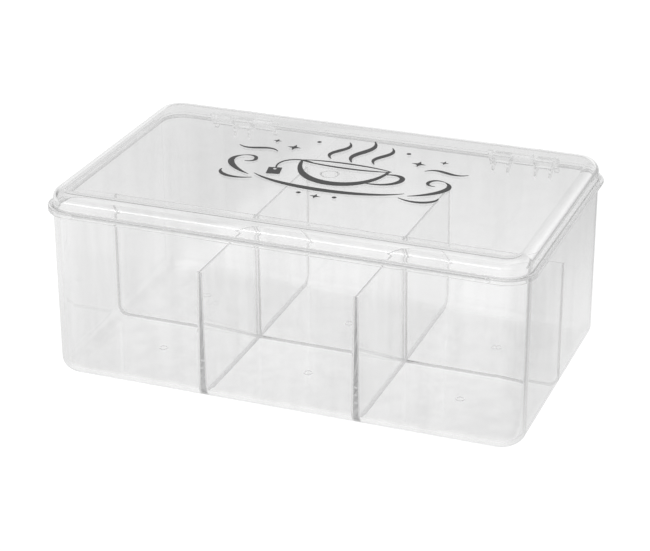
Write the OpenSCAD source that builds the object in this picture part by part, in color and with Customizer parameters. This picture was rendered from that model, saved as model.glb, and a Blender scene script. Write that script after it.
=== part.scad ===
// Clear tea bag organizer box with six compartments and a lid that swings up on two clip hinges.
// X runs along the length, Y to the hinge side, Z up from the surface that the box stands on.

/* [Tub] */
// Length over the walls
tub_length = 227; // [190:1:260]
// Depth over the walls
tub_depth = 135; // [110:1:160]
// Height of the rim that the lid rests on
tub_height = 82.8; // [78:0.2:100]
// Wall thickness
wall = 2; // [1.6:0.1:2.6]
// Floor thickness
floor_t = 2; // [1.6:0.1:3]
// Radius of the upright corners, outside
corner_r = 12; // [9:0.5:16]
// Radius of the bottom edge, outside
base_r = 7; // [5:0.5:8]

/* [Dividers] */
// Compartments along the length
columns = 3; // [2:1:4]
// Compartments across the depth
rows = 2; // [1:1:3]
// Height of the dividers above the floor's inner face
divider_height = 62; // [40:1:70]
// Divider thickness at the top edge
divider_top = 0.9; // [0.7:0.1:1.4]
// Divider thickness at the floor
divider_foot = 2.6; // [1.6:0.1:3.4]

/* [Rim] */
// How far the rim stands out from the wall
rim_out = 2.4; // [2:0.1:4]
// Rim thickness
rim_t = 1.5; // [1.2:0.1:2]
// Thickness of the lip that stands around the lid's flange
lip_t = 1; // [0.8:0.1:1.2]
// Gap between the lip and the lid's flange
lip_gap = 0.25; // [0.2:0.05:0.5]
// How far the lips run along the front, past the corners; between them a finger lifts the lid
lip_front = 3; // [1:0.5:40]
// Distance from the back corners to where the side lips end
lip_back = 4.6; // [1:0.2:30]
// Radius of the bead that ends each lip
bead_r = 0.7; // [0.65:0.05:0.8]

/* [Lid] */
// Height of the lid, flange and all
lid_height = 9.2; // [8:0.1:14]
// Gap between the rim and the flange of the closed lid
seat_gap = 0.1; // [0.05:0.05:0.3]
// Lid wall thickness
lid_wall = 2; // [1.6:0.1:2.4]
// Lid panel thickness
panel_t = 2; // [1.6:0.1:2.4]
// Radius of the lid's upper edge, outside
shoulder_r = 5.5; // [4:0.5:7]
// Flange thickness
flange_t = 1.2; // [1:0.1:2]

/* [Hinges] */
// Distance from the middle of the box to the middle of each hinge
hinge_x = 73; // [45:1:75]
// Width of each ear on the tub
ear_width = 8.5; // [6:0.5:9]
// Distance between the middles of the two ears, or of the two knuckles on the hinge that has one ear
ear_pitch = 21.1; // [20:0.1:24]
// Wall of the ear around the pin
ear_wall = 1.45; // [1.2:0.05:1.7]
// How far the ears' two ribs run down the back wall
ear_drop = 9; // [6:0.5:14]
// Thickness of these ribs
rib_t = 1.2; // [1:0.1:1.6]
// Pin diameter
pin_d = 3; // [2.6:0.1:3.2]
// Radial clearance of the pin in its ears
pin_gap = 0.05; // [0.03:0.01:0.08]
// Width of the ear's mouth, which the pin snaps through
mouth = 2.4; // [2:0.1:2.5]
// Distance of the pin's axis below the rim's top
pin_drop = 2.4; // [2.2:0.05:2.8]
// Wall of the lid's knuckles around the pin
knuckle_wall = 0.9; // [0.8:0.05:1.2]
// Gap between the knuckles and the rim's edge
knuckle_gap = 0.3; // [0.2:0.05:0.5]
// Thickness of the arms that carry the knuckles
arm_t = 1.8; // [1.4:0.1:2.2]
// Width of the knuckle between two ears
knuckle_width = 9.6; // [6:0.2:10]
// Width of the end lugs
lug_width = 2; // [1.6:0.1:3]
// Gap between a lug and the ear beside it
side_gap = 0.3; // [0.2:0.05:0.5]
// Opening angle at which the heels meet the rim
open_angle = 105; // [95:1:115]
// Gap between the heels' tips and the back wall when the lid is open
heel_gap = 0.7; // [0.6:0.1:1]
// Thickness of the stop heels
heel_t = 2; // [1.6:0.1:2.4]
// Gap left at the stop
stop_gap = 0.05; // [0.03:0.01:0.1]

/* [Moulding marks] */
// Diameter of the ring left by each gate in the floor
gate_d = 4.4; // [3:0.2:6]
// Diameter of the ring left by the gate in the middle of the lid
lid_gate_d = 9; // [5:0.5:12]
// Width of these rings
gate_w = 0.7; // [0.5:0.1:1]
// Height of these rings
gate_h = 0.3; // [0.2:0.05:0.5]
// Distance of the floor's rings from the middle of their compartments, towards the middle of the box
gate_off = 5; // [0:0.5:10]

/* [Lid print] */
// Width of the printed motif
print_width = 108; // [70:1:120]
// Thickness of the ink
ink_t = 0.08; // [0.06:0.01:0.15]
// Heaviest brush stroke, as printed
brush = 3.6; // [2:0.1:4.2]
// Distance of the motif's middle to the right of the lid's middle
print_x = 4; // [-10:1:10]
// Distance of the motif's middle behind the lid's middle
print_y = 6; // [-8:1:10]

/* [Hidden] */
$fn = 64;

half_l = tub_length / 2;
half_d = tub_depth / 2;
rim_l = half_l + rim_out;
rim_d = half_d + rim_out;
rim_r = corner_r + rim_out;
flange_in = lip_t + lip_gap;
lid_z = tub_height + seat_gap;
lid_top = lid_z + lid_height;
divider_z = floor_t + divider_height;
inner_l = half_l - wall;
inner_d = half_d - wall;
column_pitch = (2 * inner_l + divider_top) / columns;
row_pitch = (2 * inner_d + divider_top) / rows;
pin_r = pin_d / 2;
ear_r = pin_r + pin_gap + ear_wall;
knuckle_r = pin_r + knuckle_wall;
pin_y = rim_d + knuckle_gap + knuckle_r;
pin_z = tub_height - pin_drop;
heel_length = pin_y - half_d - heel_gap;
lug_x = ear_pitch / 2 + ear_width / 2 + side_gap;
// overlap that joins one form to the next inside a piece
bite = 0.6;
// how far a bead stands in from its lip's inner face
bead_in = 0.05;
bead_off = lip_t + bead_in - bead_r;
half_lift = rim_l - rim_r - lip_front;
lip_end = rim_d - rim_r - lip_back;
// the motif is drawn in hundredths of its width
print_scale = print_width / 100;
stroke_steps = 22;

// half of a section with its lower outer corner rounded
module edge_section(width, height, r) {
  difference() {
    square([width, height]);
    translate([width - r, 0])
      difference() {
        square([r, r]);
        translate([0, r]) circle(r);
      }
  }
}

// block with rounded upright corners and a rounded bottom edge
module pan(l, d, h, corner, edge) {
  rotate([90, 0, 90])
    translate([0, 0, corner - l])
      linear_extrude(2 * (l - corner)) {
        edge_section(d, h, edge);
        mirror([1, 0]) edge_section(d, h, edge);
      }
  for (side = [0, 1])
    mirror([side, 0, 0]) {
      translate([l - corner, d - corner, 0])
        rotate([90, 0, 0])
          linear_extrude(2 * (d - corner)) edge_section(corner, h, edge);
      translate([l - corner, d - corner, 0])
        rotate_extrude(angle = 90) edge_section(corner, h, edge);
      translate([l - corner, corner - d, 0])
        rotate([0, 0, -90])
          rotate_extrude(angle = 90) edge_section(corner, h, edge);
    }
}

module rounded_plate(l, d, r, t) {
  linear_extrude(t)
    union() {
      square([2 * (l - r), 2 * d], center = true);
      square([2 * l, 2 * (d - r)], center = true);
      for (x = [r - l, l - r], y = [r - d, d - r]) translate([x, y]) circle(r);
    }
}

// draws in the plane across the box, Y to the right and Z up, and extrudes it over a width in X
module across(x, width) {
  translate([x - width / 2, 0, 0])
    rotate([90, 0, 90])
      linear_extrude(width) children();
}

module divider_section() {
  polygon([
    [-divider_foot / 2, floor_t - bite],
    [divider_foot / 2, floor_t - bite],
    [divider_top / 2, divider_z],
    [-divider_top / 2, divider_z]
  ]);
}

module dividers() {
  intersection() {
    pan(half_l - bite, half_d - bite, tub_height, corner_r - bite, base_r - bite);
    union() {
      for (i = [1:1:columns - 1])
        translate([(i - columns / 2) * column_pitch, half_d, 0])
          rotate([90, 0, 0])
            linear_extrude(tub_depth) divider_section();
      for (i = [1:1:rows - 1])
        translate([-half_l, (i - rows / 2) * row_pitch, 0])
          rotate([90, 0, 90])
            linear_extrude(tub_length) divider_section();
    }
  }
}

module lip() {
  translate([0, 0, tub_height - bite])
    difference() {
      rounded_plate(rim_l, rim_d, rim_r, flange_t + bite);
      translate([0, 0, -1]) rounded_plate(rim_l - lip_t, rim_d - lip_t, rim_r - lip_t, flange_t + bite + 2);
      translate([-half_lift, -rim_d - 1, -1]) cube([2 * half_lift, rim_d, flange_t + bite + 2]);
      translate([-rim_l - 1, lip_end, -1]) cube([2 * rim_l + 2, rim_d - lip_end + 1, flange_t + bite + 2]);
    }
  for (side = [-1, 1]) {
    translate([side * (rim_l - bead_off), lip_end, tub_height - bite])
      cylinder(h = flange_t + bite, r = bead_r);
    translate([side * half_lift, bead_off - rim_d, tub_height - bite])
      cylinder(h = flange_t + bite, r = bead_r);
  }
}

module ear() {
  across(0, ear_width)
    difference() {
      union() {
        translate([pin_y, pin_z]) circle(ear_r);
        polygon([
          [half_d - bite, pin_z],
          [pin_y, pin_z - ear_r * 0.75],
          [pin_y, pin_z],
          [rim_d - bite, tub_height - bite],
          [half_d - bite, tub_height - bite]
        ]);
      }
      translate([pin_y, pin_z]) circle(pin_r + pin_gap);
      translate([pin_y - mouth / 2, pin_z]) square([mouth, ear_r + 1]);
    }
  for (end = [-1, 1])
    across(end * (ear_width - rib_t) / 2, rib_t)
      polygon([
        [half_d - bite, tub_height - ear_drop],
        [pin_y + ear_r * 0.4, pin_z - ear_r * 0.7],
        [pin_y, pin_z - ear_r * 0.75],
        [half_d - bite, pin_z + bite]
      ]);
}

// the right hinge has two ears with a knuckle between them, the left one two knuckles with an ear between
function ear_places() = [-hinge_x, hinge_x - ear_pitch / 2, hinge_x + ear_pitch / 2];

function gate_y(row) = row * row_pitch - sign(row) * gate_off;

module gate_ring(d) {
  difference() {
    cylinder(h = gate_h + bite, d = d);
    translate([0, 0, -1]) cylinder(h = gate_h + bite + 2, d = d - 2 * gate_w);
  }
}

module tub() {
  color([0.9, 0.92, 0.93, 0.45]) {
    difference() {
      union() {
        pan(half_l, half_d, tub_height, corner_r, base_r);
        translate([0, 0, tub_height - rim_t]) rounded_plate(rim_l, rim_d, rim_r, rim_t);
      }
      translate([0, 0, floor_t])
        pan(inner_l, inner_d, tub_height, corner_r - wall, base_r - wall);
    }
    dividers();
    lip();
    for (x = ear_places()) translate([x, 0, 0]) ear();
    for (i = [0:1:columns - 1], j = [0:1:rows - 1])
      translate([(i + 0.5 - columns / 2) * column_pitch, gate_y(j + 0.5 - rows / 2), floor_t - bite])
        gate_ring(gate_d);
  }
}

// arm that reaches back from the flange, over the rim, to the pin
module knuckle_section() {
  translate([pin_y, pin_z]) circle(knuckle_r);
  polygon([
    [half_d - bite, tub_height + lip_gap],
    [half_d - bite, tub_height + lip_gap + arm_t],
    [pin_y - knuckle_r * 0.6, tub_height + lip_gap + arm_t],
    [pin_y + knuckle_r * 0.6, pin_z + knuckle_r * 0.6],
    [pin_y, pin_z],
    [pin_y - knuckle_r * 0.96, pin_z],
    [pin_y - knuckle_r * 0.96, tub_height + lip_gap]
  ]);
}

module heel_section() {
  translate([pin_y, pin_z])
    rotate(open_angle - 180)
      translate([0, stop_gap + rim_t - pin_drop]) square([heel_length, heel_t]);
}

module lid_hinge(side) {
  if (side > 0)
    across(0, knuckle_width) knuckle_section();
  else
    for (end = [-1, 1]) across(end * ear_pitch / 2, ear_width) knuckle_section();
  for (end = [-1, 1])
    across(end * (lug_x + lug_width / 2), lug_width) {
      knuckle_section();
      heel_section();
    }
  translate([-lug_x - lug_width / 2, pin_y, pin_z])
    rotate([0, 90, 0])
      cylinder(h = 2 * lug_x + lug_width, d = pin_d);
}

module lid() {
  color([0.9, 0.92, 0.93, 0.45]) {
    difference() {
      union() {
        translate([0, 0, lid_top])
          mirror([0, 0, 1]) pan(half_l, half_d, lid_height, corner_r, shoulder_r);
        translate([0, 0, lid_z])
          rounded_plate(rim_l - flange_in, rim_d - flange_in, rim_r - flange_in, flange_t);
        translate([bead_r + lip_gap - half_lift, -rim_d, lid_z])
          cube([2 * (half_lift - bead_r - lip_gap), rim_out + flange_in, flange_t]);
      }
      translate([0, 0, lid_top - panel_t])
        mirror([0, 0, 1])
          pan(half_l - lid_wall, half_d - lid_wall, lid_height, corner_r - lid_wall, shoulder_r - lid_wall);
    }
    translate([0, 0, lid_top - panel_t - gate_h]) gate_ring(lid_gate_d);
    for (side = [-1, 1]) translate([side * hinge_x, 0, 0]) lid_hinge(side);
  }
}

function bezier(p, t) =
  pow(1 - t, 3) * p[0] + 3 * t * pow(1 - t, 2) * p[1] + 3 * t * t * (1 - t) * p[2] + pow(t, 3) * p[3];

function bezier_way(p, t) =
  pow(1 - t, 2) * (p[1] - p[0]) + 2 * t * (1 - t) * (p[2] - p[1]) + t * t * (p[3] - p[2]);

function beside(p, t, offset) =
  let (way = bezier_way(p, t))
  bezier(p, t) + offset * [-way.y, way.x] / norm(way);

// brush stroke along a curve, thin at its ends and full in the middle
module stroke(p, full, thin = 0.12) {
  ink = brush / print_scale / 2;
  widths = [for (i = [0:1:stroke_steps]) ink * (thin + (full - thin) * sin(180 * i / stroke_steps))];
  polygon(concat(
    [for (i = [0:1:stroke_steps]) beside(p, i / stroke_steps, widths[i])],
    [for (i = [stroke_steps:-1:0]) beside(p, i / stroke_steps, -widths[i])]
  ));
}

module cup_motif() {
  stroke([[-20, 4], [-17, -24], [17, -24], [20, 4]], 1.25, 0.35);
  stroke([[-21, 4], [-12, 0.4], [12, 0.4], [21, 4]], 0.45);
  stroke([[-21, 4], [-12, 7.6], [12, 7.6], [21, 4]], 0.4);
  stroke([[18.5, 0], [33, 6], [31, -14], [13.5, -11.5]], 0.75, 0.2);
  stroke([[-34, -17], [-20, -28], [20, -28], [34, -17]], 0.95, 0.1);
  stroke([[-9, 10], [-17, 18], [-1, 22], [-8, 31]], 0.8);
  stroke([[1, 9], [-7, 19], [10, 24], [2, 36]], 0.95);
  stroke([[11, 10], [4, 18], [19, 22], [12, 31]], 0.8);
}

module scroll_motif() {
  stroke([[36, -19], [47, -14], [54, -4], [46, 1]], 0.85);
  stroke([[46, 1], [39, 4.5], [37, -6], [43.5, -5]], 0.5);
  stroke([[33, -22], [42, -27], [50, -22], [49, -17]], 0.6);
  stroke([[34, 10], [40, 17], [46, 6], [53, 12]], 0.6);
}

module star(size) {
  polygon([for (i = [0:1:7]) (i % 2 == 0 ? size : size * 0.36) * [cos(45 * i), sin(45 * i)]]);
}

module tag_motif() {
  stroke([[-14, 2.2], [-21, 7], [-31, 2], [-27.6, -8]], 0.34, 0.2);
  translate([-27, -11.6])
    rotate(12)
      difference() {
        square([6, 7.4], center = true);
        translate([0, 2]) circle(0.8);
      }
}

module print_motif() {
  cup_motif();
  tag_motif();
  for (side = [0, 1]) mirror([side, 0]) scroll_motif();
  for (side = [-1, 1]) {
    translate([side * 29, 17]) star(3.2);
    translate([side * 39, 22]) star(2);
    translate([side * 21, 27]) circle(1);
    translate([side * 8, -31]) circle(1);
  }
  translate([0, -32.5]) star(2.4);
}

module lid_print() {
  color("dimgray")
    translate([print_x, print_y, lid_top])
      linear_extrude(ink_t)
        scale(print_scale) print_motif();
}

tub();
lid();
lid_print();
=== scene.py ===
import math

import bmesh
import bpy
from mathutils import Matrix, Vector


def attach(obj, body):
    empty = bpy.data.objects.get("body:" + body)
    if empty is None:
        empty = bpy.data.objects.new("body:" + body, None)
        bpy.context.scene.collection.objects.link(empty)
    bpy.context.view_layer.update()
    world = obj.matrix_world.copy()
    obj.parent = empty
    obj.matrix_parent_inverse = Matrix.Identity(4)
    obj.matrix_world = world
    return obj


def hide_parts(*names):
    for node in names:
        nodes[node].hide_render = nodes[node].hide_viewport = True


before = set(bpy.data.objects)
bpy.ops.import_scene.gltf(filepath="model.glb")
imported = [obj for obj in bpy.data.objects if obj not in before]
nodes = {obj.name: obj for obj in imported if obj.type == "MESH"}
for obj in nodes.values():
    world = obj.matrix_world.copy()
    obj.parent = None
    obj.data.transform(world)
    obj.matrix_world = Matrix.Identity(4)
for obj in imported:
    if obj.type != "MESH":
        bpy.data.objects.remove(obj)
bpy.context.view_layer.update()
print("frame loaded:", sorted(nodes))


def linearColour(hexCode):
    channels = [int(hexCode[i:i + 2], 16) / 255 for i in (1, 3, 5)]
    return tuple(c / 12.92 if c <= 0.04045 else ((c + 0.055) / 1.055) ** 2.4 for c in channels) + (1,)


def addNode(tree, kind, inputs=None, **settings):
    node = tree.nodes.new(kind)
    for name, value in settings.items():
        setattr(node, name, value)
    for name, value in (inputs or {}).items():
        if isinstance(value, bpy.types.NodeSocket):
            tree.links.new(value, node.inputs[name])
        else:
            node.inputs[name].default_value = value
    return node


def newMaterial(name):
    material = bpy.data.materials.new(name)
    material.use_nodes = True
    material.node_tree.nodes.clear()
    return material


def makePiece(name, points, faces):
    mesh = bpy.data.meshes.new(name)
    mesh.from_pydata([Vector(p) / 1000 for p in points], [], faces)   # points in mm, the scene in m
    piece = bpy.data.objects.new(name, mesh)
    bpy.context.scene.collection.objects.link(piece)
    return piece


def settle(piece):               # the mesh as its modifiers leave it
    graph = bpy.context.evaluated_depsgraph_get()
    mesh = bpy.data.meshes.new_from_object(piece.evaluated_get(graph))
    piece.modifiers.clear()
    piece.data = mesh


def combine(piece, tool, operation="UNION"):
    modifier = piece.modifiers.new("join", "BOOLEAN")
    modifier.operation = operation
    modifier.solver = "MANIFOLD"
    modifier.object = tool
    settle(piece)
    bpy.data.objects.remove(tool)


def softenEdges(piece, width, sharpFrom=35):
    modifier = piece.modifiers.new("soften", "BEVEL")
    modifier.width = width / 1000
    modifier.segments = facets["soft"]
    modifier.limit_method = "ANGLE"
    modifier.angle_limit = math.radians(sharpFrom)
    settle(piece)


def gather(pieces):              # pieces that don't touch, as one
    sheet = bmesh.new()
    for piece in pieces:
        sheet.from_mesh(piece.data)
    mesh = bpy.data.meshes.new(pieces[0].name)
    sheet.to_mesh(mesh)
    sheet.free()
    for piece in pieces[1:]:
        bpy.data.objects.remove(piece)
    pieces[0].data = mesh
    return pieces[0]


def copyAt(piece, x):
    twin = bpy.data.objects.new(piece.name, piece.data.copy())
    twin.data.transform(Matrix.Translation((x / 1000, 0, 0)))
    bpy.context.scene.collection.objects.link(twin)
    return twin


def arc(start, end, steps):      # angles in radians
    return [math.radians(start + (end - start) * i / steps) for i in range(steps + 1)]


def disc(centre, radius, steps=64):
    return [(centre[0] + radius * math.cos(2 * math.pi * i / steps),
             centre[1] + radius * math.sin(2 * math.pi * i / steps)) for i in range(steps)]


def extrude(name, outline, start, end):      # an outline in Y and Z, carried along X
    count = len(outline)
    points = [(x, u, v) for x in (start, end) for u, v in outline]
    faces = [tuple(range(count - 1, -1, -1)), tuple(range(count, 2 * count))]
    faces += [(i, (i + 1) % count, count + (i + 1) % count, count + i) for i in range(count)]
    return makePiece(name, points, faces)


# Sizes in mm, the same as in the part's source.
sizes = {
    "halfLength": 113.5, "halfDepth": 67.5, "height": 82.8, "wall": 2.0, "floor": 2.0,
    "corner": 12.0, "base": 7.0,
    "rimOut": 2.4, "rim": 1.5, "lip": 1.0, "lipGap": 0.25, "lipFront": 3.0, "lipBack": 4.6, "bead": 0.7,
    "seatGap": 0.1, "lidHeight": 9.2, "lidWall": 2.0, "panel": 2.0, "shoulder": 5.5, "flange": 1.2,
    "dividerTop": 0.9, "dividerFoot": 2.6, "dividerHeight": 62.0, "bite": 0.6,
    "hingeX": 73.0, "earWidth": 8.5, "earPitch": 21.1, "earWall": 1.45, "earDrop": 9.0, "rib": 1.2,
    "pin": 3.0, "pinGap": 0.05, "mouth": 2.4, "pinDrop": 2.4, "knuckleWall": 0.9, "knuckleGap": 0.3,
    "arm": 1.8, "knuckleWidth": 9.6, "lugWidth": 2.0, "sideGap": 0.3, "openAngle": 105,
    "heelGap": 0.7, "heel": 2.0, "stopGap": 0.05,
    "gate": 4.4, "lidGate": 9.0, "gateWidth": 0.7, "gateHeight": 0.3, "gateOff": 5.0,
}
rimLength = sizes["halfLength"] + sizes["rimOut"]
rimDepth = sizes["halfDepth"] + sizes["rimOut"]
halfLift = rimLength - sizes["corner"] - sizes["rimOut"] - sizes["lipFront"]
lipEnd = rimDepth - sizes["corner"] - sizes["rimOut"] - sizes["lipBack"]
innerLength = sizes["halfLength"] - sizes["wall"]
innerDepth = sizes["halfDepth"] - sizes["wall"]
columnAt = (2 * innerLength + sizes["dividerTop"]) / 6
dividerTopAt = sizes["floor"] + sizes["dividerHeight"]
lidBottom = sizes["height"] + sizes["seatGap"]
lidTop = lidBottom + sizes["lidHeight"]
knuckleRadius = sizes["pin"] / 2 + sizes["knuckleWall"]
earRadius = sizes["pin"] / 2 + sizes["pinGap"] + sizes["earWall"]
pinY = rimDepth + sizes["knuckleGap"] + knuckleRadius
pinZ = sizes["height"] - sizes["pinDrop"]

# How the moulded edges are rounded, in mm.
rounding = {
    "outer": 0.35,
    "inner": 0.25,
    "fillet": 0.4,               # where rim and flange meet the walls
    "hinge": 0.2,
    "bead": 0.2,
    "dividerFillet": 1.3,        # where the dividers meet the floor, the walls and each other
}

# How many facets each rounding has.
facets = {"corner": 22, "base": 14, "bend": 12, "shoulder": 16, "edge": 4, "lip": 3, "crown": 5, "soft": 3}


# The outline of box and lid: points on the middle lines of its corners, each with the direction
# in which the wall lies, and a flag where the lip or the tab, which only run part of the way, stand.
def makeOutline(frontMarks, sideMarks, flagAt):
    ax = sizes["halfLength"] - sizes["corner"]
    ay = sizes["halfDepth"] - sizes["corner"]
    outline = []

    def addCorner(x, y, start):
        for a in arc(start, start + 90, facets["corner"]):
            outline.append((x, y, math.cos(a), math.sin(a)))

    outline += [(ax, y, 1, 0) for y in sideMarks]
    addCorner(ax, ay, 0)
    addCorner(-ax, ay, 90)
    outline += [(-ax, y, -1, 0) for y in reversed(sideMarks)]
    addCorner(-ax, -ay, 180)
    outline += [(x, -ay, 0, -1) for x in frontMarks]
    addCorner(ax, -ay, 270)
    return [point + (flagAt(*point),) for point in outline]


# Rows of (distance outside the wall, height), and the same pair again for flagged points where it differs.
def loft(name, outline, rows):
    points, faces = [], []
    for row in rows:
        for x, y, dx, dy, flagged in outline:
            out, z = row[2:] if flagged and len(row) == 4 else row[:2]
            radius = sizes["corner"] + out
            points.append((x + radius * dx, y + radius * dy, z))
    count = len(outline)
    faces.append(tuple(range(count - 1, -1, -1)))
    for i in range(len(rows) - 1):
        for j in range(count):
            k = (j + 1) % count
            faces.append((i * count + j, i * count + k, (i + 1) * count + k, (i + 1) * count + j))
    last = (len(rows) - 1) * count
    faces.append(tuple(range(last, last + count)))
    return makePiece(name, points, faces)


def flare(distance, radius, sunk=0.08):      # what a fillet adds at this distance from the wall, in mm
    inside = radius - min(max(distance + sunk, 0.0), radius)
    return radius - math.sqrt(max(radius * radius - inside * inside, 0.0))


def halfThick(z):                # half a divider's thickness, with its draft
    share = (z - sizes["floor"] + sizes["bite"]) / (sizes["dividerHeight"] + sizes["bite"])
    return (sizes["dividerFoot"] * (1 - share) + sizes["dividerTop"] * share) / 2


def wallDistance(s, z, halfWidth):           # to the wall or the floor, round the bend between them
    radius = sizes["base"] - sizes["wall"]
    toSide = halfWidth - abs(s)
    toFloor = z - sizes["floor"]
    if toSide < radius and toFloor < radius:
        return radius - math.hypot(radius - toSide, radius - toFloor)
    return min(toSide, toFloor)


# Where a divider's points lie, in mm: close together along its fillets, far apart on its faces.
dividerMesh = {
    "heights": [1.4, 1.7, 1.95] + [2.0 + 0.12 * k for k in range(8)]
               + [3.2 + 0.38 * k for k in range(11)] + [8, 12, 24, 40, 56, 63],
    "fromEnd": [0, 0.35, 0.55, 0.62] + [0.7 + 0.1 * k for k in range(9)] + [1.8 + 0.4 * k for k in range(10)],
    "fromCrossing": [0.05, 0.2, 0.35, 0.45, 0.55] + [0.65 + 0.1 * k for k in range(16)] + [2.4, 4],
    "ninths": {1: (-4.5, 4.5), 2: (-7.5, -2, 2, 7.5)},       # of half the length, by number of crossings
    "crownFlat": 0.05,           # half of what stays flat on the top edge
}


# A drafted plate with a rounded top edge, and a fillet wherever it meets walls, floor or another plate.
def makeDivider(name, halfWidth, crossings, place):
    fillet, base, bite = rounding["dividerFillet"], sizes["base"], sizes["bite"]
    near, spread = dividerMesh["fromEnd"], dividerMesh["fromCrossing"]
    crown = sizes["dividerTop"] / 2 - dividerMesh["crownFlat"]
    rows = [(z, 0.0) for z in dividerMesh["heights"]]
    rows += [(dividerTopAt - crown + crown * math.sin(a), crown * (1 - math.cos(a)))
             for a in arc(0, 90, facets["crown"])]
    bend = base - sizes["wall"]
    points, faces = [], []
    for z, shrink in rows:
        reach = halfWidth + bite
        if z < base:
            reach = halfWidth - bend + math.sqrt(max((bend + bite) ** 2 - (base - z) ** 2, 0))
        places = [-reach + d for d in near] + [reach - d for d in near]
        places += [k * halfWidth / 9 for k in dividerMesh["ninths"][len(crossings)]]
        for crossing in crossings:
            places += [crossing] + [crossing + side * d for side in (-1, 1) for d in spread]
        places.sort()
        row = []
        for s in places:
            half = halfThick(z) + flare(wallDistance(s, z, halfWidth), fillet) - shrink
            for crossing in crossings:
                half += flare(abs(s - crossing) - halfThick(z), fillet)
            row.append((s, half, z))
        points += row + [(s, -half, z) for s, half, z in row]
    count = len(places)
    ring = list(range(count)) + list(range(2 * count - 1, count - 1, -1))
    for i in range(len(rows) - 1):
        for j in range(2 * count):
            k = (j + 1) % (2 * count)
            a, b = 2 * count * i + ring[j], 2 * count * i + ring[k]
            faces.append((b, a, a + 2 * count, b + 2 * count))
    for i, upward in ((0, False), (len(rows) - 1, True)):
        for j in range(count - 1):
            a = 2 * count * i + j
            quad = (a, a + 1, a + 1 + count, a + count)
            faces.append(quad[::-1] if upward else quad)
    return makePiece(name, [place(*p) for p in points], faces)


def makeTubShell():
    outer, fillet, inner = rounding["outer"], rounding["fillet"], rounding["inner"]
    base, top, under = sizes["base"], sizes["height"], sizes["height"] - sizes["rim"]
    lipTop = top + sizes["flange"]
    lipDraft = 0.03              # how far the lip's inner face leans in
    out, lipIn = sizes["rimOut"], sizes["rimOut"] - sizes["lip"]
    edge, lipEdge = arc(0, 90, facets["edge"]), arc(0, 90, facets["lip"])
    rows = [(-base * (1 - math.sin(a)), base * (1 - math.cos(a))) for a in arc(0, 90, facets["base"])]
    rows += [(fillet * (1 - math.cos(a)), under - fillet + fillet * math.sin(a)) for a in edge]
    rows += [(out - outer + outer * math.sin(a), under + outer * (1 - math.cos(a))) for a in edge]
    for a in edge:
        inset, rise = out - outer * (1 - math.cos(a)), outer * math.sin(a) - outer
        rows.append((inset, top + rise, inset, lipTop + rise))
    for a in lipEdge:
        inset = lipIn + inner * (1 - math.sin(a))
        rows.append((inset, top, inset, lipTop - inner + inner * math.cos(a)))
    for a in lipEdge:
        inset = lipIn - lipDraft - inner * (1 - math.cos(a))
        rows.append((inset, top, inset, top + inner - inner * math.sin(a)))
    wallIn, bend = -sizes["wall"], base - sizes["wall"]
    rows += [(wallIn + outer * (1 - math.sin(a)), top - outer + outer * math.cos(a)) for a in edge]
    rows += [(wallIn - bend * (1 - math.cos(a)), sizes["floor"] + bend - bend * math.sin(a))
             for a in arc(0, 90, facets["bend"])]

    def hasLip(x, y, dx, dy):    # in front only past the part that is free for a finger, and never behind
        straight = 0.001         # a direction's smaller part on a straight wall is below this
        if dy < -straight:
            return abs(x) > halfLift or abs(dx) > straight
        return abs(dy) <= straight and y < lipEnd

    slope = 0.1                  # half of what the lip's ends take along the wall
    frontMarks = [-halfLift - slope, -halfLift + slope, halfLift - slope, halfLift + slope]
    return loft("tubMoulding", makeOutline(frontMarks, [lipEnd - slope, lipEnd + slope], hasLip), rows)


def makeBead(x, y):              # the round post with a rounded top that ends a lip
    low, high = sizes["height"] - sizes["bite"], sizes["height"] + sizes["flange"]
    radius, crown = sizes["bead"], rounding["bead"]
    rings = [(radius, low), (radius, high - crown)]
    rings += [(radius - crown * (1 - math.cos(a)), high - crown + crown * math.sin(a))
              for a in arc(0, 90, facets["edge"])[1:]]
    count = 32
    points, faces = [], []
    for r, z in rings:
        points += [(x + u, y + v, z) for u, v in disc((0, 0), r, count)]
    for i in range(len(rings) - 1):
        for j in range(count):
            k = (j + 1) % count
            faces.append((i * count + j, i * count + k, (i + 1) * count + k, (i + 1) * count + j))
    faces.append(tuple(range(count - 1, -1, -1)))
    last = (len(rings) - 1) * count
    faces.append(tuple(range(last, last + count)))
    return makePiece("bead", points, faces)


# The section of a gate ring: how far its flanks lean, in mm, and where they bend.
gateRing = {"foot": 0.05, "bend": 0.1, "crest": 0.25, "bendHeight": 0.8, "steps": 48}


def makeGateRing(x, y, surface, width, up=1):                # the scar where the melt came in
    outer, inner = width / 2, width / 2 - sizes["gateWidth"]
    height, bite = sizes["gateHeight"], sizes["bite"]
    foot, bend, crest = gateRing["foot"], gateRing["bend"], gateRing["crest"]
    bendAt = height * gateRing["bendHeight"]
    section = [(outer, -bite), (outer + foot, 0.0), (outer - bend, bendAt), (outer - crest, height),
               (inner + crest, height), (inner + bend, bendAt), (inner - foot, 0.0), (inner, -bite)]
    count, size = gateRing["steps"], len(section)
    points, faces = [], []
    for i in range(count):
        a = 2 * math.pi * i / count
        points += [(x + r * math.cos(a), y + r * math.sin(a), surface + up * h) for r, h in section]
    for i in range(count):
        for j in range(size):
            a, b, k = i * size, ((i + 1) % count) * size, (j + 1) % size
            quad = (a + j, b + j, b + k, a + k)
            faces.append(quad if up > 0 else quad[::-1])
    return makePiece("gate", points, faces)


# Where the neck and the ribs meet an ear's ring, as shares of its radius, and what cuts reach past it, in mm.
earShape = {"neckUnder": 0.75, "ribOut": 0.4, "ribUnder": 0.7, "past": 1}


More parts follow.
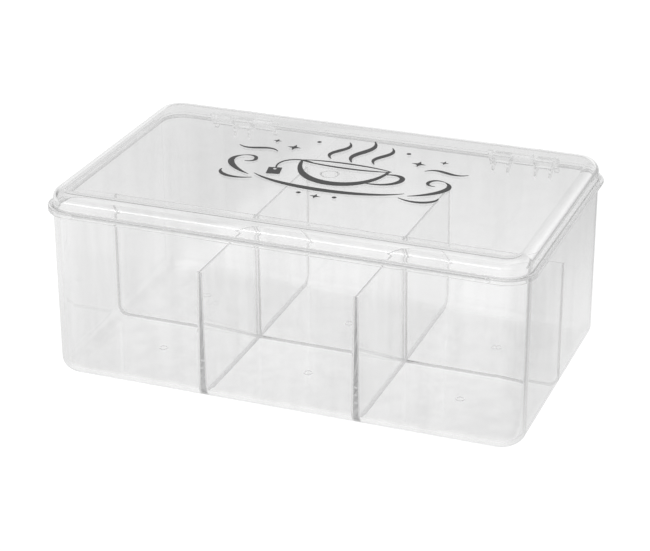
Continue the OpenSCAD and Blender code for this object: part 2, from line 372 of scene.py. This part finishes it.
def makeEar():
    width, top, past = sizes["earWidth"] / 2, sizes["height"], earShape["past"]
    wallIn, under = sizes["halfDepth"] - sizes["bite"], pinZ - earRadius * earShape["neckUnder"]
    ribEnd = (pinY + earRadius * earShape["ribOut"], pinZ - earRadius * earShape["ribUnder"])
    ear = extrude("ear", disc((pinY, pinZ), earRadius), -width, width)
    combine(ear, extrude("neck", [
        (wallIn, pinZ), (pinY, under), (pinY, pinZ),
        (rimDepth - sizes["bite"], top - sizes["bite"]), (wallIn, top - sizes["bite"])], -width, width))
    rib = [(wallIn, top - sizes["earDrop"]), ribEnd, (pinY, under), (wallIn, pinZ + sizes["bite"])]
    for start, end in ((-width, sizes["rib"] - width), (width - sizes["rib"], width)):
        combine(ear, extrude("rib", rib, start, end))
    bore = disc((pinY, pinZ), sizes["pin"] / 2 + sizes["pinGap"])
    combine(ear, extrude("bore", bore, -width - past, width + past), "DIFFERENCE")
    half = sizes["mouth"] / 2
    combine(ear, extrude("mouth", [
        (pinY - half, pinZ), (pinY + half, pinZ), (pinY + half, pinZ + earRadius + past),
        (pinY - half, pinZ + earRadius + past)], -width - past, width + past), "DIFFERENCE")
    softenEdges(ear, rounding["hinge"])
    return ear


def makeTub():
    tub = makeTubShell()
    columns = [makeDivider("column", innerDepth, [0], lambda s, t, z, x=x: (x - t, s, z))
               for x in (-columnAt, columnAt)]
    combine(tub, gather(columns))
    combine(tub, makeDivider("row", innerLength, [-columnAt, columnAt], lambda s, t, z: (s, t, z)))
    ear = makeEar()
    details = [copyAt(ear, x) for x in (-sizes["hingeX"], sizes["hingeX"] - sizes["earPitch"] / 2,
                                        sizes["hingeX"] + sizes["earPitch"] / 2)]
    bpy.data.objects.remove(ear)
    beadPast = 0.05              # how far a bead stands out of its lip's inner face
    beadOff = sizes["lip"] + beadPast - sizes["bead"]
    for side in (-1, 1):
        details.append(makeBead(side * (rimLength - beadOff), lipEnd))
        details.append(makeBead(side * halfLift, beadOff - rimDepth))
    gateY = innerDepth / 2 + sizes["dividerTop"] / 4 - sizes["gateOff"]
    for x in (-2 * columnAt, 0, 2 * columnAt):
        for y in (-gateY, gateY):
            details.append(makeGateRing(x, y, sizes["floor"], sizes["gate"]))
    combine(tub, gather(details))
    return tub


def makeLidShell():
    outer, fillet = rounding["outer"], rounding["fillet"]
    shoulder, bend = sizes["shoulder"], sizes["shoulder"] - sizes["lidWall"]
    wallIn, flangeTop = -sizes["lidWall"], lidBottom + sizes["flange"]
    out, tab = sizes["rimOut"] - sizes["lip"] - sizes["lipGap"], sizes["rimOut"]
    under = lidTop - sizes["panel"]
    edge = arc(0, 90, facets["edge"])
    rows = [(wallIn - bend * (1 - math.sin(a)), under - bend * (1 - math.cos(a)))
            for a in arc(0, 90, facets["bend"])]
    rows += [(wallIn + outer * (1 - math.cos(a)), lidBottom + outer - outer * math.sin(a)) for a in edge]
    for a in edge:
        inset, z = outer * math.sin(a) - outer, lidBottom + outer * (1 - math.cos(a))
        rows.append((out + inset, z, tab + inset, z))
    for a in edge:
        inset, z = outer * math.cos(a) - outer, flangeTop - outer * (1 - math.sin(a))
        rows.append((out + inset, z, tab + inset, z))
    rows += [(fillet * (1 - math.sin(a)), flangeTop + fillet * (1 - math.cos(a))) for a in edge]
    rows += [(-shoulder * (1 - math.cos(a)), lidTop - shoulder + shoulder * math.sin(a))
             for a in arc(0, 90, facets["shoulder"])]
    tabEnd = halfLift - sizes["bead"] - sizes["lipGap"]
    slope = 0.15                 # half of what the tab's ends take along the front

    def hasTab(x, y, dx, dy):    # only on the straight front
        return dy < -0.999 and abs(x) < tabEnd

    frontMarks = [-tabEnd - slope, -tabEnd + slope, tabEnd - slope, tabEnd + slope]
    return loft("lidMoulding", makeOutline(frontMarks, [0], hasTab), rows)


# Where an arm meets its knuckle, as shares of the knuckle's radius.
armShape = {"front": 0.96, "back": 0.6}
# The pin's facets, and how far inside the lugs it ends, in mm.
pinShape = {"steps": 48, "short": 0.3}


def makeHinge(knuckles):         # the lid's knuckles, lugs, stop heels and pin at one hinge
    top, bite, r = sizes["height"], sizes["bite"], knuckleRadius
    back = sizes["halfDepth"] - bite
    low, high = top + sizes["lipGap"], top + sizes["lipGap"] + sizes["arm"]
    front, over = r * armShape["front"], r * armShape["back"]
    arm = [(back, low), (pinY - front, low), (pinY - front, pinZ), (pinY, pinZ),
           (pinY + over, pinZ + over), (pinY - over, high), (back, high)]
    lugStart = sizes["earPitch"] / 2 + sizes["earWidth"] / 2 + sizes["sideGap"]
    lugEnd = lugStart + sizes["lugWidth"]
    turn = math.radians(sizes["openAngle"] - 180)
    length = pinY - sizes["halfDepth"] - sizes["heelGap"]
    foot = sizes["stopGap"] + sizes["rim"] - sizes["pinDrop"]
    crest = foot + sizes["heel"]
    heel = [(pinY + u * math.cos(turn) - v * math.sin(turn), pinZ + u * math.sin(turn) + v * math.cos(turn))
            for u, v in ((0, foot), (length, foot), (length, crest), (0, crest))]
    pieces = []
    for start, end, lug in knuckles + [(lugStart, lugEnd, True), (-lugEnd, -lugStart, True)]:
        knuckle = extrude("knuckle", disc((pinY, pinZ), r), start, end)
        combine(knuckle, extrude("arm", arm, start, end))
        if lug:
            combine(knuckle, extrude("heel", heel, start, end))
        softenEdges(knuckle, rounding["hinge"])
        pieces.append(knuckle)
    hinge = gather(pieces)
    pin = disc((pinY, pinZ), sizes["pin"] / 2, pinShape["steps"])
    pinEnd = lugEnd - pinShape["short"]
    combine(hinge, extrude("pin", pin, -pinEnd, pinEnd))
    return hinge


def makeLid():
    lid = makeLidShell()
    combine(lid, makeGateRing(0, 0, lidTop - sizes["panel"], sizes["lidGate"], -1))
    half, off, width = sizes["knuckleWidth"] / 2, sizes["earPitch"] / 2, sizes["earWidth"] / 2
    right = makeHinge([(-half, half, False)])
    left = makeHinge([(-off - width, width - off, False), (off - width, off + width, False)])
    right.data.transform(Matrix.Translation((sizes["hingeX"] / 1000, 0, 0)))
    left.data.transform(Matrix.Translation((-sizes["hingeX"] / 1000, 0, 0)))
    combine(lid, gather([right, left]))
    return lid


def shade(piece, material, crispFrom=34):    # smooth curves, crisp edges, flat faces kept flat
    piece.data.materials.clear()
    piece.data.materials.append(material)
    for face in piece.data.polygons:
        face.use_smooth = True
        face.material_index = 0
    piece.data.set_sharp_from_angle(angle=math.radians(crispFrom))
    weighted = piece.modifiers.new("flatFaces", "WEIGHTED_NORMAL")
    weighted.keep_sharp = True
    weighted.weight = 100        # the most: large faces decide
    settle(piece)


# Clear general-purpose polystyrene, injection moulded and polished by its mould.
# The eye gets a bright, hard plastic glass: grey along the edges, where it looks through
# a long stretch of plastic, with soft waves from the melt's flow in the broad faces.
clearPlastic = {
    "tint": "#FFFFFF",
    "streakTint": "#F8F8F8",     # where the melt's flow shows
    "streakWidth": 11,           # mm
    "streakLength": 90,          # mm
    "streakFrom": 0.42,          # levels of the noise between which a streak comes in
    "streakTo": 0.72,
    "streakDetail": 3,
    "streakRough": 0.6,
    "ior": 1.59,
    "roughness": 0.02,
    "smoke": "#C6C6C6",          # what long stretches of plastic turn to
    "smokePerMetre": 13,
    "bouncesInside": 10,         # rays caught in the walls for longer than this end in a painted glow
    "paintedGlow": "#E6E6E6",         # of this level, standing in for the light they would let out
    "shadow": "#FCFCFC",
    "waveLength": 22,            # mm between the soft waves of the surface
    "waveHeight": 0.03,          # mm
    "waveDetail": 1.5,
    "waveRough": 0.4,
}


def makeClearPlastic(name, look):
    material = newMaterial(name)
    tree = material.node_tree
    place = addNode(tree, "ShaderNodeTexCoord").outputs["Object"]
    waves = addNode(tree, "ShaderNodeTexNoise", {
        "Vector": place, "Scale": 1000 / look["waveLength"],
        "Detail": look["waveDetail"], "Roughness": look["waveRough"]})
    bump = addNode(tree, "ShaderNodeBump", {
        "Height": waves.outputs["Fac"], "Strength": 1, "Distance": look["waveHeight"] / 1000})
    across, along = 1000 / look["streakWidth"], 1000 / look["streakLength"]
    stretch = addNode(tree, "ShaderNodeMapping", {"Vector": place, "Scale": (across, across, along)})
    flow = addNode(tree, "ShaderNodeTexNoise", {
        "Vector": stretch.outputs[0], "Scale": 1,
        "Detail": look["streakDetail"], "Roughness": look["streakRough"]})
    streaks = addNode(tree, "ShaderNodeMapRange", {
        "Value": flow.outputs["Fac"], "From Min": look["streakFrom"], "From Max": look["streakTo"]})
    tint = addNode(tree, "ShaderNodeMix", {
        0: streaks.outputs[0], 6: linearColour(look["tint"]), 7: linearColour(look["streakTint"])},
        data_type="RGBA")
    shader = addNode(tree, "ShaderNodeBsdfPrincipled", {
        "Base Color": tint.outputs[2], "Roughness": look["roughness"], "IOR": look["ior"],
        "Transmission Weight": 1, "Normal": bump.outputs["Normal"]})
    clear = addNode(tree, "ShaderNodeBsdfTransparent", {"Color": linearColour(look["shadow"])})
    path = addNode(tree, "ShaderNodeLightPath")
    light = addNode(tree, "ShaderNodeMath", {
        0: path.outputs["Is Shadow Ray"], 1: path.outputs["Is Diffuse Ray"]}, operation="MAXIMUM")
    # Rays past that many bounces get the painted glow instead of the plastic.
    caught = addNode(tree, "ShaderNodeMath", {
        0: path.outputs["Ray Depth"], 1: look["bouncesInside"]}, operation="GREATER_THAN")
    glow = addNode(tree, "ShaderNodeEmission", {"Color": linearColour(look["paintedGlow"])})
    body = addNode(tree, "ShaderNodeMixShader", {
        0: caught.outputs[0], 1: shader.outputs[0], 2: glow.outputs[0]})
    mix = addNode(tree, "ShaderNodeMixShader", {
        0: light.outputs[0], 1: body.outputs[0], 2: clear.outputs[0]})
    smoke = addNode(tree, "ShaderNodeVolumeAbsorption", {
        "Color": linearColour(look["smoke"]), "Density": look["smokePerMetre"]})
    addNode(tree, "ShaderNodeOutputMaterial", {"Surface": mix.outputs[0], "Volume": smoke.outputs[0]})
    return material


# Dark grey screen ink, printed on the plastic: a thin, even film that dries satin,
# a little lighter where the screen's mesh left it thin.
ink = {
    "colour": "#262626",
    "thinColour": "#3B3B3B",
    "roughness": 0.42,
    "meshSize": 0.9,             # mm, drawn coarser than the screen's real 0.1 mm so that it shows
    "meshDetail": 3,
    "meshHeight": 0.03,          # mm
    "meshDepth": 0.3,            # share of that height that the bump takes
}


def makeInk(look):
    material = newMaterial("screenInkSatin")
    tree = material.node_tree
    place = addNode(tree, "ShaderNodeTexCoord").outputs["Object"]
    film = addNode(tree, "ShaderNodeTexNoise", {
        "Vector": place, "Scale": 1000 / look["meshSize"], "Detail": look["meshDetail"]})
    colour = addNode(tree, "ShaderNodeMix", {
        0: film.outputs["Fac"], 6: linearColour(look["colour"]), 7: linearColour(look["thinColour"])},
        data_type="RGBA")
    bump = addNode(tree, "ShaderNodeBump", {
        "Height": film.outputs["Fac"], "Strength": look["meshDepth"],
        "Distance": look["meshHeight"] / 1000})
    shader = addNode(tree, "ShaderNodeBsdfPrincipled", {
        "Base Color": colour.outputs[2], "Roughness": look["roughness"], "Normal": bump.outputs["Normal"]})
    addNode(tree, "ShaderNodeOutputMaterial", {"Surface": shader.outputs[0]})
    return material


# The lid is the same plastic. Its flow hardly shows, and the painted glow that ends the light caught in its
# panel is brighter.
clearLid = dict(clearPlastic, streakTint="#FCFCFC", streakWidth=12, paintedGlow="#F2F2F2")
tubMaterial = makeClearPlastic("clearPolystyreneTub", clearPlastic)
lidMaterial = makeClearPlastic("clearPolystyreneLid", clearLid)
for slot in nodes["lid_print"].material_slots:
    slot.material = makeInk(ink)
print("materials made")

for body, make, slotName, material in (
        ("tub", makeTub, "clear_tub", tubMaterial), ("lid", makeLid, "clear_lid", lidMaterial)):
    piece = make()
    shade(piece, material)
    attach(piece, body)
    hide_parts(body)
    print(body, "moulded:", len(piece.data.polygons), "faces")

# The camera as it was fitted to the box's corners: millimetres and radians, in the model's frame.
camera = {
    "place": (323.57, -843.08, 452.72),
    "turn": 0.36909,
    "tilt": 0.42891,
    "roll": -0.0043,
    "lens": 116.24,              # mm
    "sensor": 36,
    "nearest": 0.01,             # m
    "farthest": 50,
}


def makeCamera(look):
    turn, tilt, roll = look["turn"], look["tilt"], look["roll"]
    ahead = Vector((-math.sin(turn) * math.cos(tilt), math.cos(turn) * math.cos(tilt), -math.sin(tilt)))
    right = ahead.cross(Vector((0, 0, 1))).normalized()
    up = right.cross(ahead)
    rolledRight = math.cos(roll) * right + math.sin(roll) * up
    rolledUp = math.cos(roll) * up - math.sin(roll) * right
    data = bpy.data.cameras.new("photoCamera")
    data.lens = look["lens"]
    data.sensor_width = look["sensor"]
    data.sensor_fit = "HORIZONTAL"
    data.clip_start = look["nearest"]
    data.clip_end = look["farthest"]
    body = bpy.data.objects.new("photoCamera", data)
    bpy.context.scene.collection.objects.link(body)
    turnMatrix = Matrix((rolledRight, rolledUp, -ahead)).transposed().to_4x4()
    body.matrix_world = Matrix.Translation(Vector(look["place"]) / 1000) @ turnMatrix
    bpy.context.scene.camera = body


makeCamera(camera)
print("camera placed")

# Studio: soft lamps, a white sweep, a floor that keeps the shadow.
studio = {
    "floorSize": 12,             # m
    "airGap": 0.3,               # mm between the paper and the underside, which keeps its own reflections
    "floorColour": "#F0F0F0",
    "floorWhite": 1.15,          # the paper's own glow for the camera, which keeps it white round the shadow
    "floorShare": 0.7,           # share of the floor's white that doesn't depend on the lamps
    "glassShare": 0.92,          # the same as glass and gloss see it
    "glassSees": 1.0,            # the sweep as glass and gloss show it
    "sky": "#FFFFFF",
    "skyLight": 0.5,             # what the world gives to matt surfaces
    "room": "#989898",           # what gloss and glass see overhead and beside the sweep
    "ceilingFrom": 0.2,          # sine of the height at which the white sweep ends
    "ceilingTo": 0.5,
    "softboxFrom": 0.65,         # and of the height at which the light overhead begins
    "softboxTo": 0.9,
    "sideFrom": 0.6,             # the same to the left and right
    "sideTo": 0.9,
    "paperShift": 62,            # mm from the box's middle back to the middle of a painted pool of light on the paper
    "paperStretch": 1.6,         # how much wider than deep that spot is
    "paperFrom": 120,            # mm from that spot to where the painted light starts to fade, as glass sees it
    "paperTo": 320,
    "paperEdge": 0.86,           # what is left of the painted light there
    # The box's soft shadow on the paper to its left and right, as glass sees it:
    # mm from the middle, and the share of the light that is left there.
    "sideShade": [(-220, 1), (-150, 0.9), (-117, 0.88), (-104, 1), (104, 1), (117, 0.8), (150, 0.54)],
}

# Place, width and length in m, power in W. The strip draws the bright line along the lid's shoulder.
lamps = {
    "overheadBox": {"place": (-0.35, 0.45, 1.3), "width": 1.2, "length": 0.9, "power": 14, "inGloss": False},
    "frontStrip": {"place": (-0.55, -1.5, 0.2), "width": 1.2, "length": 0.25, "power": 4, "inGloss": True},
}
lampsAimAt = (0, 0, 0.05)


def makeRamp(tree, metres, stops):
    first, last = stops[0][0], stops[-1][0]
    along = addNode(tree, "ShaderNodeMapRange", {
        "Value": metres, "From Min": first / 1000, "From Max": last / 1000})
    ramp = addNode(tree, "ShaderNodeValToRGB", {"Fac": along.outputs[0]})
    points = ramp.color_ramp.elements
    for place, share in stops:
        atEnd = {first: points[0], last: points[-1]}.get(place)
        point = atEnd or points.new((place - first) / (last - first))
        point.color = (share, share, share, 1)
    return ramp


def makeFloor(look):
    bpy.ops.mesh.primitive_plane_add(size=look["floorSize"], location=(0, 0, -look["airGap"] / 1000))
    floor = bpy.context.object
    floor.name = "studioFloor"
    material = newMaterial("paperSweep")
    tree = material.node_tree
    path = addNode(tree, "ShaderNodeLightPath")
    glassy = addNode(tree, "ShaderNodeMath", {
        0: path.outputs["Is Glossy Ray"], 1: path.outputs["Is Transmission Ray"]}, operation="MAXIMUM")
    plain = addNode(tree, "ShaderNodeMath", {
        0: path.outputs["Is Camera Ray"], 1: look["floorShare"]}, operation="MULTIPLY")
    share = addNode(tree, "ShaderNodeMapRange", {
        "Value": glassy.outputs[0], "To Min": plain.outputs[0], "To Max": look["glassShare"]})
    # A painted pool of light: the paper, as glass and gloss see it, is brightest near the box and fades
    # outward.
    stretch = look["paperStretch"]
    spot = addNode(tree, "ShaderNodeMapping", {
        "Vector": addNode(tree, "ShaderNodeTexCoord").outputs["Object"], "Scale": (1, stretch, 1),
        "Location": (0, -stretch * look["paperShift"] / 1000, 0)})
    offCentre = addNode(tree, "ShaderNodeVectorMath", {0: spot.outputs[0]}, operation="LENGTH")
    fade = addNode(tree, "ShaderNodeMapRange", {
        "Value": offCentre.outputs["Value"], "From Min": look["paperFrom"] / 1000,
        "From Max": look["paperTo"] / 1000, "To Min": look["glassSees"],
        "To Max": look["glassSees"] * look["paperEdge"]})
    across = addNode(tree, "ShaderNodeSeparateXYZ", {"Vector": spot.outputs[0]}).outputs["X"]
    boxShadow = makeRamp(tree, across, look["sideShade"])
    glassLevel = addNode(tree, "ShaderNodeMath", {
        0: fade.outputs[0], 1: boxShadow.outputs["Color"]}, operation="MULTIPLY")
    level = addNode(tree, "ShaderNodeMapRange", {
        "Value": glassy.outputs[0], "To Min": look["floorWhite"], "To Max": glassLevel.outputs[0]})
    paper = addNode(tree, "ShaderNodeBsdfDiffuse", {"Color": linearColour(look["floorColour"])})
    glow = addNode(tree, "ShaderNodeEmission", {"Color": (1, 1, 1, 1), "Strength": level.outputs[0]})
    both = addNode(tree, "ShaderNodeMixShader", {
        0: share.outputs[0], 1: paper.outputs[0], 2: glow.outputs[0]})
    addNode(tree, "ShaderNodeOutputMaterial", {"Surface": both.outputs[0]})
    floor.data.materials.append(material)


def makeWorld(look):
    world = bpy.data.worlds.new("studioWorld")
    bpy.context.scene.world = world
    world.use_nodes = True
    tree = world.node_tree
    tree.nodes.clear()
    direction = addNode(tree, "ShaderNodeTexCoord").outputs["Generated"]
    axes = addNode(tree, "ShaderNodeSeparateXYZ", {"Vector": direction})
    above = addNode(tree, "ShaderNodeMapRange", {
        "Value": axes.outputs["Z"], "From Min": look["ceilingFrom"], "From Max": look["ceilingTo"]})
    softbox = addNode(tree, "ShaderNodeMapRange", {
        "Value": axes.outputs["Z"], "From Min": look["softboxFrom"], "From Max": look["softboxTo"],
        "To Min": 1.0, "To Max": 0.0})
    overhead = addNode(tree, "ShaderNodeMath", {
        0: above.outputs[0], 1: softbox.outputs[0]}, operation="MINIMUM")
    sideways = addNode(tree, "ShaderNodeMath", {0: axes.outputs["X"]}, operation="ABSOLUTE")
    beside = addNode(tree, "ShaderNodeMapRange", {
        "Value": sideways.outputs[0], "From Min": look["sideFrom"], "From Max": look["sideTo"]})
    outside = addNode(tree, "ShaderNodeMath", {
        0: overhead.outputs[0], 1: beside.outputs[0]}, operation="MAXIMUM")
    room = addNode(tree, "ShaderNodeMix", {
        0: outside.outputs[0], 6: linearColour(look["sky"]), 7: linearColour(look["room"])},
        data_type="RGBA")
    path = addNode(tree, "ShaderNodeLightPath")
    glassy = addNode(tree, "ShaderNodeMath", {
        0: path.outputs["Is Glossy Ray"], 1: path.outputs["Is Transmission Ray"]}, operation="MAXIMUM")
    lit = addNode(tree, "ShaderNodeBackground", {
        "Color": linearColour(look["sky"]), "Strength": look["skyLight"]})
    seen = addNode(tree, "ShaderNodeBackground", {"Color": linearColour(look["sky"]), "Strength": 1})
    mirrored = addNode(tree, "ShaderNodeBackground", {
        "Color": room.outputs[2], "Strength": look["glassSees"]})
    first = addNode(tree, "ShaderNodeMixShader", {
        0: glassy.outputs[0], 1: lit.outputs[0], 2: mirrored.outputs[0]})
    second = addNode(tree, "ShaderNodeMixShader", {
        0: path.outputs["Is Camera Ray"], 1: first.outputs[0], 2: seen.outputs[0]})
    addNode(tree, "ShaderNodeOutputWorld", {"Surface": second.outputs[0]})


def makeLamp(name, look):
    data = bpy.data.lights.new(name, "AREA")
    data.shape = "RECTANGLE"
    data.size, data.size_y = look["width"], look["length"]
    data.energy = look["power"]
    body = bpy.data.objects.new(name, data)
    bpy.context.scene.collection.objects.link(body)
    body.location = look["place"]
    ahead = Vector(lampsAimAt) - Vector(look["place"])
    body.rotation_euler = ahead.to_track_quat("-Z", "Y").to_euler()
    body.visible_glossy = look["inGloss"]
    body.visible_transmission = False


makeFloor(studio)
makeWorld(studio)
for lampName, lamp in lamps.items():
    makeLamp(lampName, lamp)

scene = bpy.context.scene
scene.view_settings.view_transform = "Standard"
scene.cycles.max_bounces = 120               # light passes many clear walls and is thrown about inside them
scene.cycles.transmission_bounces = 120
scene.cycles.glossy_bounces = 60
scene.cycles.transparent_max_bounces = 40
print("studio lit")
